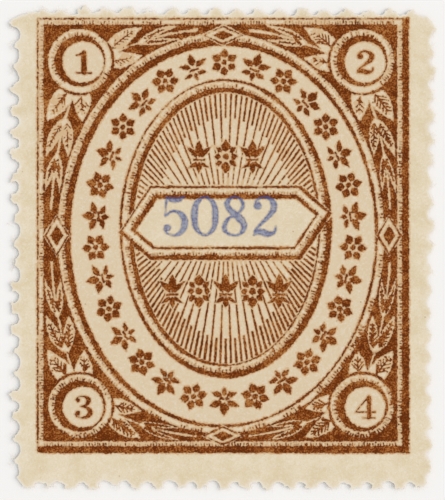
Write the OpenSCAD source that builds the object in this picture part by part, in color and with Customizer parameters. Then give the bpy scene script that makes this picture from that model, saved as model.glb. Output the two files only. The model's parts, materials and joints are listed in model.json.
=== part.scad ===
// Perforated telegraph stamp: a gummed paper sheet with its printed ink film.
// The stamp lies flat, face up. X runs to its right, Y to its top and Z up through it.
// The origin is at the middle of the underside.

/* [Sheet] */
// Width between the two upright lines of perforation
sheet_w = 30.8; // [30.5:0.1:33]
// Height between the two level lines of perforation
sheet_h = 35.2; // [34.5:0.1:38]
// How far the right-hand line leans in from top to bottom
right_lean = 0.3; // [0:0.05:0.5]
// How far the top line falls from left to right
top_fall = 0.22; // [0:0.02:0.4]
// Thickness of the paper
paper_t = 0.11; // [0.08:0.01:0.2]
// Thickness of the dried gum on the back
gum_t = 0.02; // [0.01:0.005:0.05]
// Thickness of the printing ink on the paper
ink_t = 0.02; // [0.01:0.005:0.05]

/* [Perforation] */
// Distance from hole to hole
hole_pitch = 1.6; // [1.4:0.05:1.8]
// Diameter of a hole
hole_d = 0.86; // [0.76:0.02:1]
// First hole on the left, down from the top line
left_start = 0.4; // [0:0.02:1.2]
// First hole on the right, down from the top line
right_start = 0.6; // [0:0.02:1.2]
// First hole on the top, in from the left line
top_start = 1.18; // [0:0.02:1.4]
// First hole on the bottom, in from the left line
bottom_start = 0.22; // [0:0.02:1.2]
// How far the torn teeth on the left stand past their line
left_reach = 0.24; // [-0.1:0.02:0.3]
// How far the torn teeth on the right stand past their line
right_reach = -0.02; // [-0.1:0.02:0.3]
// How far the torn teeth on the top stand past their line
top_reach = 0.02; // [-0.1:0.02:0.3]
// How far the torn teeth on the bottom stand past their line
bottom_reach = 0.1; // [-0.1:0.02:0.3]
// Width of a tooth's torn tip
tip_w = 0.5; // [0.4:0.02:0.6]
// How much further the middle of a tip stands out than its corners
tip_round = 0.12; // [0:0.02:0.16]
// How far the torn tips differ from one another
tear = 0.09; // [0:0.01:0.12]

/* [Border] */
// Bare margin from the left line of perforation to the printed design
margin_left = 1.74; // [1.5:0.02:2]
// Bare margin from the right line of perforation to the printed design
margin_right = 1.86; // [1.7:0.02:2.3]
// Bare margin from the top line of perforation to the printed design
margin_top = 0.82; // [0.6:0.02:1.4]
// Bare margin from the bottom line of perforation to the printed design
margin_bottom = 2.58; // [1.8:0.02:2.7]
// Thickness of a ribbon's rule on the side towards the light
rule_thin = 0.12; // [0.08:0.01:0.2]
// Thickness of a ribbon's rule on the side away from the light
rule_thick = 0.52; // [0.3:0.02:0.56]
// Width of the border's bare ribbon between its two rules
border_ribbon_w = 0.34; // [0.26:0.02:0.44]
// Width of every other bare ribbon between its two rules
ribbon_w = 0.46; // [0.34:0.02:0.5]
// Bare paper left between two patches of ink that almost touch
hairline = 0.06; // [0.04:0.01:0.08]

/* [Oval band] */
// Distance from the side of the printed design to the oval band
oval_side = 2.45; // [2.3:0.05:2.6]
// Distance from the top of the printed design to the oval band
oval_top = 2.05; // [1.85:0.05:2.2]
// Mean width of the band at its two sides
band_side = 3.4; // [3.1:0.05:3.6]
// Mean width of the band at its top and bottom
band_top = 2.92; // [2.74:0.02:3.1]
// How far the inner oval stands to the right of the outer one's middle
arch_right = 0.2; // [0:0.05:0.3]
// How far the inner oval stands above the outer one's middle
arch_rise = 0.52; // [0.3:0.02:0.6]
// Thickness of the inner oval's rules on the side away from the light
arch_thick = 0.42; // [0.24:0.02:0.5]

/* [Tablet] */
// How far the tablet's points stand past the inner oval's outer edge
tablet_past = 0.05; // [0:0.01:0.2]
// Height of the tablet
tablet_h = 5.4; // [4.8:0.1:5.6]
// Length of a point of the tablet, from its level sides to its tip
tablet_point = 2.3; // [2:0.1:2.8]
// Thickness of the tablet's rules on the side away from the light
tablet_thick = 0.36; // [0.24:0.02:0.48]
// How far the tablet stands above the middle of the inner oval
tablet_rise = 0.4; // [0.2:0.05:0.6]
// How much lower the tablet's left point is than its right one
tablet_tilt = 1.4; // [0:0.1:1.6]

/* [Sunburst] */
// Number of long rays all round
ray_count = 66; // [48:2:70]
// Width of a long ray at the rim
ray_w = 0.15; // [0.1:0.01:0.2]
// Width of a short ray at the rim
short_ray_w = 0.18; // [0.12:0.01:0.2]
// Width of a ray at its inner end
ray_tip_w = 0.09; // [0.06:0.01:0.1]
// Length of the short rays between the long ones
short_ray = 1.8; // [1:0.1:2.2]
// How far past the tablet's middle, on its other side, the rays would meet
fan_depth = 2; // [0:0.1:2.4]

/* [Corner roundels] */
// Distance from a roundel to the border's ribbon on its two outer sides
roundel_clear = 0.3; // [0.2:0.02:0.4]
// Distance from a roundel to the oval's ribbon
roundel_rim = 0.66; // [0.4:0.02:0.9]
// Mean thickness of a roundel's inner ring
ring_w = 0.36; // [0.3:0.02:0.44]
// How much thicker than that the ring is on its shaded side
ring_shade = 0.24; // [0:0.02:0.26]

/* [Leaf sprays] */
// Pairs of leaves on each level spray
leaves_level = 2; // [2:1:4]
// Pairs of leaves on each upright spray
leaves_upright = 3; // [3:1:5]
// Half the breadth of a leaf as a share of the room beside its stem
leaf_breadth = 0.38; // [0.28:0.01:0.4]
// Half the breadth of a leaf as a share of its length, at the most
leaf_plump = 0.24; // [0.16:0.01:0.26]
// How far a spray starts behind its roundel
spray_tuck = 0.9; // [0:0.1:1.2]
// Distance from the end of a spray to its boss
spray_clear = 0.4; // [0.2:0.05:0.8]
// Thickness of the stem
stem_w = 0.16; // [0.1:0.01:0.2]
// Thickness of a leaf's printed midrib
vein_w = 0.1; // [0.07:0.01:0.12]

/* [Bosses] */
// Length of a boss along its side of the border
boss_l = 3; // [2.4:0.1:3.4]
// Size of the dark diamond in a boss as a share of the boss
boss_core = 0.5; // [0.3:0.05:0.6]

/* [Printer's flowers] */
// Number of flowers round the oval band
flower_count = 30; // [24:2:32]
// Height of a flower as a share of the oval band's width at its top
flower_share = 0.84; // [0.6:0.02:0.86]
// Distance from the inner oval's rule to the end of the lower row of ornaments
ornament_clear = 1.1; // [0.9:0.05:1.4]
// Height of an ornament as a share of the spacing from one to the next
ornament_tall = 1.28; // [1:0.02:1.32]
// Distance from the tablet's edge to the middle of the upper row of ornaments
upper_gap = 2.15; // [1.8:0.05:2.4]
// Distance from the tablet's edge to the middle of the lower row of ornaments
lower_gap = 2.3; // [2:0.05:2.6]

/* [Hidden] */

$fn = 48;
ellipse_sides = 120;
paper_colour = "#E4D5B8";
gum_colour = "#DCC48C";
ink_colour = "#7A4016";

// Perforation

function wobble(i, seed) = 0.6 * sin(137.5 * i + seed) + 0.4 * sin(61.7 * i + 2 * seed);

top_left = [-sheet_w / 2, sheet_h / 2];
top_right = [(sheet_w + right_lean) / 2, sheet_h / 2 - top_fall];
bottom_left = [-sheet_w / 2, -sheet_h / 2];
bottom_right = [(sheet_w - right_lean) / 2, -sheet_h / 2];

// Each line of perforation: where it starts, where it ends, its first hole and its teeth's reach
left_line = [top_left, bottom_left, left_start, left_reach];
right_line = [top_right, bottom_right, right_start, right_reach];
top_line = [top_left, top_right, top_start, top_reach];
bottom_line = [bottom_left, bottom_right, bottom_start, bottom_reach];

function line_length(line) = norm(line[1] - line[0]);
function line_way(line) = (line[1] - line[0]) / line_length(line);
function last_hole(line) = floor((line_length(line) - line[2]) / hole_pitch);
function on_line(line, along, out, side) =
    let (way = line_way(line))
    line[0] + along * way + out * side * [way.y, -way.x];

// Holes along a line, one past each end where the next one would bite the corner
function holes_on(line) = [for (i = [-1 : last_hole(line) + 1])
    on_line(line, line[2] + i * hole_pitch, 0, 1)];

// The torn edge along a line: three points for the tip of each tooth, then the middle of the
// next hole. side is 1 where the outside lies to the right of the way along the line, and -1
// where it lies to the left
function torn_tips(line, side, seed) = [for (i = [0 : last_hole(line) - 1], k = [-1 : 2])
    on_line(line,
        line[2] + (i + 0.5) * hole_pitch + (k < 2 ? k * tip_w : hole_pitch) / 2,
        k < 2 ? line[3] - abs(k) * tip_round + tear * wobble(3 * i + k, seed) : 0, side)];
function reversed(points) = [for (i = [len(points) - 1 : -1 : 0]) points[i]];

torn_edge = concat(
    torn_tips(top_line, -1, 20),
    torn_tips(right_line, -1, 75),
    reversed(torn_tips(bottom_line, 1, 140)),
    reversed(torn_tips(left_line, 1, 250)));
edge_low = [min([for (p = torn_edge) p.x]), min([for (p = torn_edge) p.y])];
edge_high = [max([for (p = torn_edge) p.x]), max([for (p = torn_edge) p.y])];
// The middle of the torn sheet, which is the origin
sheet_middle = (edge_low + edge_high) / 2;

module sheet_outline() {
    translate(-sheet_middle)
        difference() {
            polygon(torn_edge);
            for (line = [top_line, right_line, bottom_line, left_line])
                for (p = holes_on(line))
                    translate(p)
                        circle(d = hole_d, $fn = 32);
        }
}

// Ribbons: each is a bare strip between an outer and an inner rule. The light comes from the
// upper left, so the strip is set towards it between two rules of the same mean thickness

// The printed design inside its margins
print_w = sheet_w - margin_left - margin_right;
print_h = sheet_h - margin_top - margin_bottom;
print_shift = (margin_left - margin_right) / 2;
print_rise = (margin_bottom - margin_top) / 2;

rule_mean = (rule_thin + rule_thick) / 2;
rule_shift = (rule_thick - rule_thin) / 2;
// The shift of a round or slanting ribbon, whose rules differ most along the diagonal
round_shift = rule_shift / sqrt(2);
arch_mean = (rule_thin + arch_thick) / 2;
arch_shift = (arch_thick - rule_thin) / 2 / sqrt(2);
tablet_mean = (rule_thin + tablet_thick) / 2;
tablet_shift = (tablet_thick - rule_thin) / 2 / sqrt(2);

module lit(shift) {
    translate([-shift, shift])
        children();
}

function ellipse_point(a, b, angle) = [a * cos(angle), b * sin(angle)];
function ellipse(a, b) = [for (i = [0 : ellipse_sides - 1])
    ellipse_point(a, b, 360 * i / ellipse_sides)];

// Half sizes of the field inside the border's ribbon, where the dark ground starts
field = [print_w, print_h] / 2 - [1, 1] * (rule_mean + border_ribbon_w);
field_middle = [-rule_shift, rule_shift];
// Half axes of the oval band, of the rule round it and of the ground's inner edge
band = [print_w / 2 - oval_side, print_h / 2 - oval_top];
band_rule = band + [1, 1] * rule_mean;
ground_hole = band_rule + [1, 1] * ribbon_w;
ground_hole_middle = [-round_shift, round_shift];
// Half axes of the inner oval and of the opening in it, and their middle
arch = band - [band_side, band_top];
arch_opening = arch - [1, 1] * (2 * arch_mean + ribbon_w);
arch_middle = [arch_right, arch_rise];

module frame_area(inset) {
    square([print_w, print_h] - 2 * inset * [1, 1], center = true);
}

module arch_area(inset) {
    translate(arch_middle)
        polygon(ellipse(arch.x - inset, arch.y - inset));
}

// Tablet: a long hexagon. Its corners are counted round from its right point, which stands a
// little higher than its left one
tablet_middle = arch_middle + [0, tablet_rise];
tablet_l = 2 * (arch.x + tablet_past);
level_l = tablet_l - 2 * tablet_point;
tablet_corners = [[tablet_l, tablet_tilt], [level_l, tablet_h], [-level_l, tablet_h],
    [-tablet_l, -tablet_tilt], [-level_l, -tablet_h], [level_l, -tablet_h]] / 2;

// The way out of the tablet, square to the side that follows a corner
function side_out(i) =
    let (way = tablet_corners[(i + 1) % 6] - tablet_corners[i])
    [way.y, -way.x] / norm(way);

module tablet_area(inset) {
    translate(tablet_middle)
        polygon([for (i = [0 : 5])
            let (before = side_out((i + 5) % 6), after = side_out(i))
            tablet_corners[i] - inset * (before + after) / (1 + before * after)]);
}

// How far it is from a place in the tablet to a clear distance outside it, along a way
function way_out(place, way, clear) = min([for (i = [0 : 5])
    if (side_out(i) * way > 0.001)
        (side_out(i) * (tablet_corners[i] - place) + clear) / (side_out(i) * way)]);

// Puts a printed shape on the face of the paper
module printed() {
    color(ink_colour)
        translate([print_shift - sheet_middle.x, print_rise - sheet_middle.y, gum_t + paper_t])
            linear_extrude(height = ink_t)
                children();
}

// Leaves

// A leaf from the origin up Y, pointed at both ends and bent sideways
leaf_steps = 5;
function leaf(l, w, bend) = concat(
    [for (i = [0 : leaf_steps]) leaf_point(l, w, bend, i / leaf_steps, 1)],
    [for (i = [leaf_steps - 1 : -1 : 1]) leaf_point(l, w, bend, i / leaf_steps, -1)]);
function leaf_point(l, w, bend, t, side) =
    [bend * t * t + side * w / 2 * leaf_swell(t), l * t];
function leaf_swell(t) = sin(180 * pow(t, 0.85));

// A leaf at a place, turned, with a bend and a bare space round it
module leaf_at(place, turn, l, w, bend = 0, grow = 0) {
    translate(place)
        rotate(turn)
            translate([0, -2 * grow])
                polygon(leaf(l + 4 * grow, w + 2 * grow, bend));
}

// Corner grounds: the dark field between the border, the oval, a roundel and two bosses.
// quadrant is [1, 1] for the upper right, [-1, 1] for the upper left and so on

// A roundel is the circle that clears two sides of the border and the oval's ribbon
roundel_corner = field - roundel_clear * [1, 1];
oval_reach = norm(roundel_corner)
    / norm([roundel_corner.x / ground_hole.x, roundel_corner.y / ground_hole.y]) + roundel_rim;
roundel_sum = roundel_corner.x + roundel_corner.y + oval_reach;
roundel_r = roundel_sum
    - sqrt(pow(roundel_sum, 2) + pow(oval_reach, 2) - pow(norm(roundel_corner), 2));

function roundel_middle(quadrant) = [quadrant.x * (roundel_corner.x - roundel_r),
    quadrant.y * (roundel_corner.y - roundel_r)];

// Where a spray runs: a place along its arm, from behind the roundel to the boss, and a share
// of the room beside the stem, which is 1 at the border and -1 at the oval
function level_point(quadrant, u, v) =
    let (start = abs(roundel_middle(quadrant).x) - roundel_r + spray_tuck,
        end = boss_l / 2 + spray_clear,
        x = quadrant.x * (start + (end - start) * u),
        out = field_middle.y + quadrant.y * field.y,
        share = (x - ground_hole_middle.x) / ground_hole.x,
        in = ground_hole_middle.y + quadrant.y * ground_hole.y * sqrt(1 - share * share))
    [x, (out + in) / 2 + v * (out - in) / 2];
function upright_point(quadrant, u, v) =
    let (start = abs(roundel_middle(quadrant).y) - roundel_r + spray_tuck,
        end = boss_l / 2 + spray_clear,
        y = quadrant.y * (start + (end - start) * u),
        out = field_middle.x + quadrant.x * field.x,
        share = (y - ground_hole_middle.y) / ground_hole.y,
        in = ground_hole_middle.x + quadrant.x * ground_hole.x * sqrt(1 - share * share))
    [(out + in) / 2 + v * (out - in) / 2, y];
function spray_point(arm, quadrant, u, v) =
    arm == "level" ? level_point(quadrant, u, v) : upright_point(quadrant, u, v);
function spray_room(arm, quadrant, u) =
    norm(spray_point(arm, quadrant, u, 1) - spray_point(arm, quadrant, u, -1)) / 2;

// A spray leaf's own line, from its stem (s = 0) to its tip (s = 1)
leaf_root = 0.06;
leaf_end = 0.82;
leaf_overlap = 1.1;
leaf_curl = 1.15;
function leaf_line(arm, quadrant, i, count, side, s) =
    spray_point(arm, quadrant, (i + leaf_overlap * s) / (count + 0.6),
        side * (leaf_root + (leaf_end - leaf_root) * pow(s, leaf_curl)));
function leaf_normal(arm, quadrant, i, count, side, s) =
    let (step = leaf_line(arm, quadrant, i, count, side, s + 0.02)
            - leaf_line(arm, quadrant, i, count, side, max(s - 0.02, 0)))
    [-step.y, step.x] / norm(step);
spray_steps = 7;
function spray_leaf(arm, quadrant, i, count, side, breadth, from, to) =
    let (edge = [for (k = [-1, 1]) [for (j = [0 : spray_steps])
        let (t = j / spray_steps, s = from + (to - from) * t)
        leaf_line(arm, quadrant, i, count, side, s)
            + k * breadth * leaf_swell(t) * leaf_normal(arm, quadrant, i, count, side, s)]])
    concat(edge[0], [for (j = [spray_steps - 1 : -1 : 1]) edge[1][j]]);
function spray_stem(arm, quadrant) =
    let (rows = [for (k = [-1, 1]) [for (j = [0 : spray_steps])
        let (u = j / spray_steps, p = spray_point(arm, quadrant, u, 0))
        p + k * stem_w / 2 * (arm == "level" ? [0, 1] : [1, 0])]])
    concat(rows[0], reversed(rows[1]));

arms = ["level", "upright"];
function leaf_count(arm) = arm == "level" ? leaves_level : leaves_upright;
function leaf_half(arm, quadrant, i, side) =
    let (count = leaf_count(arm),
        length = norm(leaf_line(arm, quadrant, i, count, side, 1)
            - leaf_line(arm, quadrant, i, count, side, 0)))
    min(leaf_plump * length, leaf_breadth * spray_room(arm, quadrant, (i + 0.6) / count));

// The outer edge of a roundel's ribbon, and of the dark line round that
module roundel_area(quadrant, grow) {
    lit(round_shift)
        translate(roundel_middle(quadrant))
            circle(r = roundel_r + grow);
}

module sprays(quadrant) {
    difference() {
        for (arm = arms) {
            polygon(spray_stem(arm, quadrant));
            for (i = [0 : leaf_count(arm) - 1], side = [-1, 1])
                polygon(spray_leaf(arm, quadrant, i, leaf_count(arm), side,
                    leaf_half(arm, quadrant, i, side), 0, 1));
        }
        roundel_area(quadrant, 1.5 * rule_thin);
    }
}

module veins(quadrant) {
    vein_from = 0.16;
    vein_to = 0.82;
    difference() {
        for (arm = arms, i = [0 : leaf_count(arm) - 1], side = [-1, 1])
            polygon(spray_leaf(arm, quadrant, i, leaf_count(arm), side, vein_w / 2,
                vein_from, vein_to));
        roundel_area(quadrant, 1.5 * rule_thin + hairline);
    }
}

module corner_ground(quadrant) {
    difference() {
        translate(field_middle)
            square(2 * field, center = true);
        translate(ground_hole_middle)
            polygon(ellipse(ground_hole.x, ground_hole.y));
        translate([-quadrant.x, 0] * print_w / 2)
            square([print_w, 2 * print_h], center = true);
        translate([0, -quadrant.y] * print_h / 2)
            square([2 * print_w, print_h], center = true);
        roundel_area(quadrant, 0);
        boss_areas(-hairline);
        sprays(quadrant);
    }
}

// Roundel ring: the inner rule of a roundel's ribbon, round a bare disc. Its left is in shade
ring_lean = [0.95, -0.31];
module roundel_ring(quadrant) {
    ring_r = roundel_r - ribbon_w;
    lit(round_shift)
        translate(roundel_middle(quadrant))
            difference() {
                circle(r = ring_r);
                translate(ring_shade * ring_lean)
                    circle(r = ring_r - ring_w);
            }
}

// Bosses: a lozenge at the middle of each side, which clasps the border and the oval ribbon

boss_edges = [for (axis = [0, 1]) [band[axis] + rule_thin / 2,
    [print_w, print_h][axis] / 2 - rule_thick]];
function lozenge(a, b) = [[a, 0], [0, b], [-a, 0], [0, -b]];

module boss_area(way, inset, share = 1) {
    axis = abs(way.x) > 0 ? 0 : 1;
    depth = (boss_edges[axis][1] - boss_edges[axis][0]) / 2;
    reach = (boss_edges[axis][1] + boss_edges[axis][0]) / 2;
    half = axis == 0 ? [depth, boss_l / 2] : [boss_l / 2, depth];
    translate(way * reach)
        polygon(lozenge(share * half.x - inset, share * half.y - inset));
}

boss_ways = [[1, 0], [0, 1], [-1, 0], [0, -1]];

module boss_areas(inset) {
    for (way = boss_ways)
        boss_area(way, inset);
}

// Places along an ellipse by the length of its arc, so that what stands on it is evenly spaced

function arc_table(a, b) = [for (
    i = 0, s = 0;
    i <= 360;
    s = s + norm(ellipse_point(a, b, i + 1) - ellipse_point(a, b, i)), i = i + 1) [s, i]];
function angle_at(table, share) = lookup(share * table[360][0], table);

flower_path = (band + arch) / 2;
flower_table = arc_table(flower_path.x, flower_path.y);

flower_h = flower_share * (band.y - arch.y - arch_middle.y);

// Puts a flower of height 1 at a place in the band, upright to the oval
module in_band(i) {
    angle = angle_at(flower_table, (i + 0.5) / flower_count);
    out = atan2(sin(angle) / flower_path.y, cos(angle) / flower_path.x);
    translate(arch_middle / 2 + ellipse_point(flower_path.x, flower_path.y, angle))
        rotate(out - 90)
            scale(flower_h)
                children();
}

// Sprig: three leaves on a short stem over a tie
module sprig() {
    leaf_at([0, 0.02], 0, 0.48, 0.3);
    for (side = [-1, 1]) {
        leaf_at([side * 0.1, -0.02], -side * 50, 0.44, 0.25, side * 0.12);
        leaf_at([side * 0.1, -0.18], -side * 128, 0.34, 0.2, -side * 0.1);
    }
    leaf_at([0, -0.2], 180, 0.3, 0.18);
    translate([0, -0.1])
        square([0.36, 0.09], center = true);
}

// Flower: six petals round a dot
module flower() {
    circle(r = 0.1, $fn = 24);
    for (turn = [0 : 60 : 300])
        rotate(turn)
            leaf_at([0, 0.14], 0, 0.36, 0.3);
}

// Fleuron: a tall leaf between two that curl out, over a tie, and the same again below, smaller
module fleuron(h, grow) {
    leaf_at([0, -0.03 * h], 0, 0.53 * h, 0.25 * h, 0, grow);
    leaf_at([0, -0.15 * h], 180, 0.35 * h, 0.17 * h, 0, grow);
    for (side = [-1, 1]) {
        leaf_at([side * 0.07 * h, -0.05 * h], -side * 14, 0.42 * h, 0.2 * h, side * 0.22 * h, grow);
        leaf_at([side * 0.07 * h, -0.14 * h], -side * 160, 0.28 * h, 0.14 * h, -side * 0.16 * h, grow);
    }
    translate([0, -0.095 * h])
        square([0.36 * h, 0.07 * h] + 2 * grow * [1, 1], center = true);
}

// Rosette: petals round a dot, longest up and down
module rosette(h, grow) {
    circle(r = 0.1 * h + grow, $fn = 32);
    for (turn = [0, 180])
        rotate(turn) {
            leaf_at([0, 0.14 * h], 0, 0.35 * h, 0.28 * h, 0, grow);
            leaf_at([0.14 * h, 0], -90, 0.2 * h, 0.2 * h, 0, grow);
            for (side = [-1, 1])
                rotate(side * 46)
                    leaf_at([0, 0.16 * h], 0, 0.25 * h, 0.16 * h, 0, grow);
        }
}

// The row of ornaments above (side = 1) or below (side = -1) the tablet, every second one a
// rosette. grow is the bare space round them
upper_count = 3;
lower_count = 5;
lower_row = tablet_rise - tablet_h / 2 - lower_gap;
ornament_pitch = 2 / lower_count
    * (arch_opening.x * sqrt(1 - pow(lower_row / arch_opening.y, 2)) - ornament_clear);
ornament_h = ornament_tall * ornament_pitch;

module ornament_row(side, grow) {
    count = side > 0 ? upper_count : lower_count;
    gap = side > 0 ? upper_gap : lower_gap;
    for (i = [0 : count - 1])
        translate(tablet_middle + [(i - (count - 1) / 2) * ornament_pitch,
                side * (tablet_h / 2 + gap)])
            if (i % 2 == 0)
                fleuron(ornament_h, grow);
            else
                rosette(ornament_h, grow);
}

// Sunburst: rays from the tablet to the inner oval, a short one after each long one. All places
// are counted from the tablet's middle

ray_path = arc_table(arch_opening.x, arch_opening.y);
function rim_place(share) = arch_middle - tablet_middle + ellipse_point(
    arch_opening.x - hairline, arch_opening.y - hairline, angle_at(ray_path, share));

// Whether a ray stands above the tablet (1), below it (-1) or would end in one of its points (0)
function ray_side(share) =
    let (above = rim_place(share) * [-tablet_tilt, tablet_l] / norm([tablet_tilt, tablet_l]))
    abs(above) < short_ray_w ? 0 : sign(above);

module ray(side, share, long) {
    from = [0, -side * fan_depth];
    far = norm(rim_place(share) - from);
    way = (rim_place(share) - from) / far;
    clear = way_out(from, way, hairline + ray_tip_w / 2);
    near = long ? clear : max(clear, far - short_ray);
    across = [-way.y, way.x] / 2;
    breadth = long ? ray_w : short_ray_w;
    tip = long ? ray_tip_w : 0.8 * short_ray_w;
    if (far - near > 4 * hairline)
        translate(tablet_middle + from)
            polygon([near * way - across * tip, far * way - across * breadth,
                far * way + across * breadth, near * way + across * tip]);
}

module rays(side) {
    difference() {
        for (i = [0 : 2 * ray_count - 1])
            if (ray_side(i / (2 * ray_count)) == side)
                ray(side, i / (2 * ray_count), i % 2 == 0);
        ornament_row(side, hairline);
    }
}

// The upper or the lower half of a rule that the tablet cuts in two
module beyond_tablet(side) {
    difference() {
        children();
        tablet_area(-hairline);
        translate(tablet_middle)
            rotate(atan2(tablet_tilt, tablet_l))
                translate([0, -side * print_h])
                    square([2 * print_w, 2 * print_h], center = true);
    }
}

// Sub-parts

module gum_layer() {
    color(gum_colour)
        linear_extrude(height = gum_t)
            sheet_outline();
}

module paper_sheet() {
    color(paper_colour)
        translate([0, 0, gum_t])
            linear_extrude(height = paper_t)
                sheet_outline();
}

module border_rule() {
    printed()
        difference() {
            frame_area(0);
            lit(rule_shift)
                frame_area(rule_mean);
        }
}

module ground_top_left() {
    printed()
        corner_ground([-1, 1]);
}

module ground_top_right() {
    printed()
        corner_ground([1, 1]);
}

module ground_bottom_left() {
    printed()
        corner_ground([-1, -1]);
}

module ground_bottom_right() {
    printed()
        corner_ground([1, -1]);
}

module leaf_veins() {
    printed()
        for (x = [-1, 1], y = [-1, 1])
            veins([x, y]);
}

module border_bosses() {
    printed()
        for (way = boss_ways) {
            difference() {
                boss_area(way, 0);
                boss_area(way, rule_thin * 1.5);
            }
            boss_area(way, 0, boss_core);
        }
}

module roundel_top_left() {
    printed()
        roundel_ring([-1, 1]);
}

module roundel_top_right() {
    printed()
        roundel_ring([1, 1]);
}

module roundel_bottom_left() {
    printed()
        roundel_ring([-1, -1]);
}

module roundel_bottom_right() {
    printed()
        roundel_ring([1, -1]);
}

module oval_rule() {
    printed()
        difference() {
            lit(round_shift)
                polygon(ellipse(band_rule.x, band_rule.y));
            polygon(ellipse(band.x, band.y));
            boss_areas(-hairline);
        }
}

module band_sprigs() {
    printed()
        for (i = [0 : 2 : flower_count - 1])
            in_band(i)
                sprig();
}

module band_flowers() {
    printed()
        for (i = [1 : 2 : flower_count - 1])
            in_band(i)
                flower();
}

module arch_outer_rule(side) {
    beyond_tablet(side)
        difference() {
            arch_area(0);
            lit(arch_shift)
                arch_area(arch_mean);
        }
}

module arch_inner_rule(side) {
    beyond_tablet(side)
        difference() {
            lit(arch_shift)
                arch_area(arch_mean + ribbon_w);
            arch_area(2 * arch_mean + ribbon_w);
        }
}

module arch_outer_rule_upper() {
    printed()
        arch_outer_rule(1);
}

module arch_outer_rule_lower() {
    printed()
        arch_outer_rule(-1);
}

module arch_inner_rule_upper() {
    printed()
        arch_inner_rule(1);
}

module arch_inner_rule_lower() {
    printed()
        arch_inner_rule(-1);
}

module rays_upper() {
    printed()
        rays(1);
}

module rays_lower() {
    printed()
        rays(-1);
}

module tablet_outer_rule() {
    printed()
        difference() {
            tablet_area(0);
            lit(tablet_shift)
                tablet_area(tablet_mean);
        }
}

module tablet_inner_rule() {
    printed()
        difference() {
            lit(tablet_shift)
                tablet_area(tablet_mean + ribbon_w);
            tablet_area(2 * tablet_mean + ribbon_w);
        }
}

module ornaments_upper() {
    printed()
        ornament_row(1, 0);
}

module ornaments_lower() {
    printed()
        ornament_row(-1, 0);
}

gum_layer();
paper_sheet();
border_rule();
ground_top_left();
ground_top_right();
ground_bottom_left();
ground_bottom_right();
leaf_veins();
border_bosses();
roundel_top_left();
roundel_top_right();
roundel_bottom_left();
roundel_bottom_right();
oval_rule();
band_sprigs();
band_flowers();
arch_outer_rule_upper();
arch_outer_rule_lower();
arch_inner_rule_upper();
arch_inner_rule_lower();
rays_upper();
rays_lower();
tablet_outer_rule();
tablet_inner_rule();
ornaments_upper();
ornaments_lower();
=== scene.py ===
"""Looks of a perforated telegraph stamp, laid out as a Blender add-on and run as a script.

The printed films of the frame have clean outlines. Here each outline becomes a grid of depths, is worn,
fringed and pitted as ink pulled from a stone is, and is then traced and cut out again as a solid film.
"""

import functools
import json
import math

import bpy
import numpy as np
from bpy.props import FloatProperty, FloatVectorProperty, PointerProperty, StringProperty
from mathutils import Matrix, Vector
from mathutils.geometry import delaunay_2d_cdt

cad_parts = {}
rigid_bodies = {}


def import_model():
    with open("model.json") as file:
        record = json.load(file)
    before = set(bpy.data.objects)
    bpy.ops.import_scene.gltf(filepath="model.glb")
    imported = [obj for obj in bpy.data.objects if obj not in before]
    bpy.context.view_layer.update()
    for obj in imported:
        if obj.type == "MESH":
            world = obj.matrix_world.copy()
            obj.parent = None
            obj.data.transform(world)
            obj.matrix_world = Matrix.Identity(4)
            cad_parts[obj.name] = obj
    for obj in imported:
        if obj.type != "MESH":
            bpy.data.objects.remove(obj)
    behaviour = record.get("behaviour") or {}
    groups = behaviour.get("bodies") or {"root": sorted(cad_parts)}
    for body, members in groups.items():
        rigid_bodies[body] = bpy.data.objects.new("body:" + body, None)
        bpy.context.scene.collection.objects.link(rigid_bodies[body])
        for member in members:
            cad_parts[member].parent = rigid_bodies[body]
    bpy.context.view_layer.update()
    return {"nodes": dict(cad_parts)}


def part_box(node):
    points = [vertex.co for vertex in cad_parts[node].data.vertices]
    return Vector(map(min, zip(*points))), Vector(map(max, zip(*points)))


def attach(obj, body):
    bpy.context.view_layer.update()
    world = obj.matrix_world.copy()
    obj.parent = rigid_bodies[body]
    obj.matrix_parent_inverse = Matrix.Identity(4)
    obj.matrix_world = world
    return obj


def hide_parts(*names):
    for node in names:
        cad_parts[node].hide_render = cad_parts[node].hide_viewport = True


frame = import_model()

bl_info = {
    "name": "Perforated stamp",
    "version": (1, 0, 0),
    "blender": (4, 5, 0),
    "location": "View3D > Sidebar > Stamp",
    "description": "Builds a gummed, perforated stamp with its stone-printed design around a packed model",
    "category": "Object",
}

# One millimetre in Blender's metres
MM = 0.001
# Two points of an outline that are nearer than this, in millimetres, are one
TOUCH = 1e-6
# How much lower each film of ink is than the last, in millimetres
FILM_STEP = 0.0003
# Depths at which ink has a ring of points, and how much of the bare paper shows through it there
RIM_LEVELS = (-0.095, -0.04, -0.008, 0.025)
RIM_BARE = (1.0, 0.95, 0.55, 0.0)
# The same for the finest lines
FINE_LEVELS = (-0.075, -0.03, 0.01)
FINE_BARE = (1.0, 0.95, 0.0)
# How much lower the face of stained paper is than that of full ink, and how far ink reaches into the paper
STAIN_DROP = 0.012
INK_SUNK = 0.002
# How much further the ink spreads for each millimetre to the right, and for each one up. The stone took
# more of it at its lower right
HEAVIER = (0.0005, -0.0009)
# Where the light that shades the ribbons comes from
LIT_FROM = (-0.7, 0.7)
# The photograph's frame: pixels wide and high, and the millimetres that its height covers
FRAME_W, FRAME_H = 445, 500
FRAME_TALL = 36.55
# From the middle of the printed border to the middle of the photograph, in millimetres
FRAME_OFF = (-0.037, -1.06)
# Faces of the gum, the paper and the ink
PAPER_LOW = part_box("paper_sheet")[0].z / MM
PAPER_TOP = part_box("paper_sheet")[1].z / MM
INK_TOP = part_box("border_rule")[1].z / MM

CORNERS = ("top_left", "top_right", "bottom_left", "bottom_right")
HALVES = ("upper", "lower")
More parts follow.
